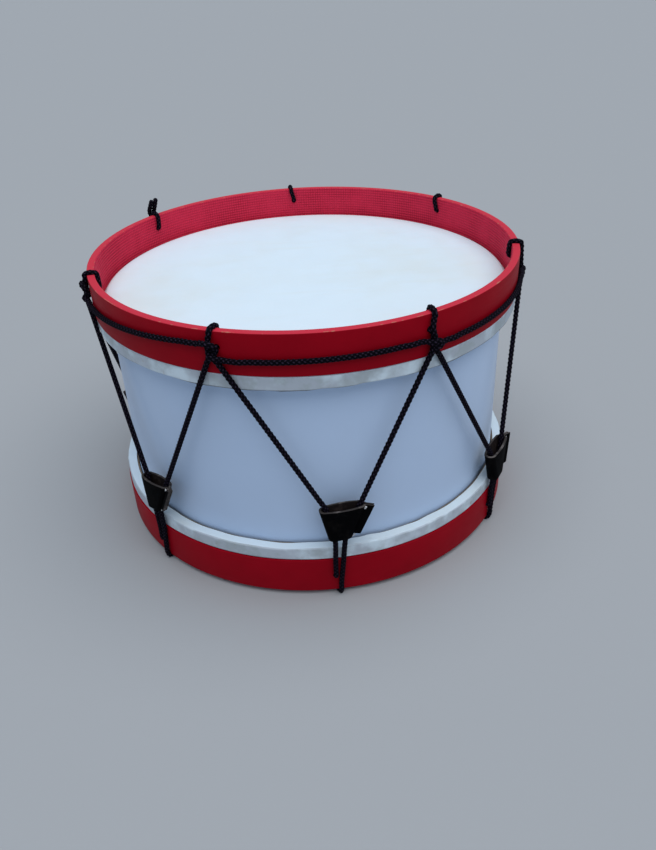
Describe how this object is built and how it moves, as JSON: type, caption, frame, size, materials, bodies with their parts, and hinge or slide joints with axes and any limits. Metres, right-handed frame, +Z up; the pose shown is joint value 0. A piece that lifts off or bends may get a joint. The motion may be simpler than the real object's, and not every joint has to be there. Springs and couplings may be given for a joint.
{
  "type": "bombo drum",
  "caption": "Rope-tensioned bombo drum with a white shell, two laced skin heads, red board hoops, black braided cord and sliding leather tugs.",
  "frame": {"origin": "on the floor under the drum's axis, with the drum standing on its lower hoop", "axes": "+Z up along the drum's axis, -Y towards the front tug"},
  "size_m": [0.471, 0.4764, 0.311],
  "materials": {
    "red_board": "painted red gloss over pressed board, with chipped edges",
    "rawhide": "matt rawhide",
    "white_shell": "satin white facing on thin plywood",
    "plain_wood": "bare",
    "black_cord": "braided polyester",
    "black_leather": "black grain, raw brown edges",
    "white_thread": "waxed thread"
  },
  "bodies": {
    "drum": {"shell": "white_shell", "shell_ring_top": "plain_wood", "shell_ring_bottom": "plain_wood", "flesh_hoop_top": "plain_wood", "flesh_hoop_bottom": "plain_wood", "skin_top": "rawhide", "skin_bottom": "rawhide", "hoop_top": "red_board", "hoop_bottom": "red_board", "girdle_cord": "black_cord", "cord_end_knot": "black_cord", "cord_run_1": "black_cord", "cord_run_2": "black_cord", "cord_run_3": "black_cord", "cord_run_4": "black_cord", "cord_run_5": "black_cord", "cord_run_6": "black_cord", "cord_run_7": "black_cord", "cord_foot_1": "black_cord", "cord_foot_2": "black_cord", "cord_foot_3": "black_cord", "cord_foot_4": "black_cord", "cord_foot_5": "black_cord", "cord_foot_6": "black_cord", "cord_foot_7": "black_cord"},
    "tug_1_body": {"tug_1": "black_leather", "tug_stitching_1": "white_thread"},
    "tug_2_body": {"tug_2": "black_leather", "tug_stitching_2": "white_thread"},
    "tug_3_body": {"tug_3": "black_leather", "tug_stitching_3": "white_thread"},
    "tug_4_body": {"tug_4": "black_leather", "tug_stitching_4": "white_thread"},
    "tug_5_body": {"tug_5": "black_leather", "tug_stitching_5": "white_thread"},
    "tug_6_body": {"tug_6": "black_leather", "tug_stitching_6": "white_thread"},
    "tug_7_body": {"tug_7": "black_leather", "tug_stitching_7": "white_thread"}
  },
  "joints": [
    {"name": "tug_1_slide", "type": "slide", "parent": "drum", "child": "tug_1_body", "axis": [0, 0, 1], "range_m": [-0.01, 0.045], "deforming": ["cord_run_1", "cord_run_7"]},
    {"name": "tug_2_slide", "type": "slide", "parent": "drum", "child": "tug_2_body", "axis": [0, 0, 1], "range_m": [-0.003, 0.055], "deforming": ["cord_run_2", "cord_run_1"]},
    {"name": "tug_3_slide", "type": "slide", "parent": "drum", "child": "tug_3_body", "axis": [0, 0, 1], "range_m": [-0.01, 0.045], "deforming": ["cord_run_3", "cord_run_2"]},
    {"name": "tug_4_slide", "type": "slide", "parent": "drum", "child": "tug_4_body", "axis": [0, 0, 1], "range_m": [-0.01, 0.045], "deforming": ["cord_run_4", "cord_run_3"]},
    {"name": "tug_5_slide", "type": "slide", "parent": "drum", "child": "tug_5_body", "axis": [0, 0, 1], "range_m": [-0.01, 0.045], "deforming": ["cord_run_5", "cord_run_4"]},
    {"name": "tug_6_slide", "type": "slide", "parent": "drum", "child": "tug_6_body", "axis": [0, 0, 1], "range_m": [-0.008, 0.05], "deforming": ["cord_run_6", "cord_run_5"]},
    {"name": "tug_7_slide", "type": "slide", "parent": "drum", "child": "tug_7_body", "axis": [0, 0, 1], "range_m": [-0.01, 0.048], "deforming": ["cord_run_7", "cord_run_6"]}
  ]
}
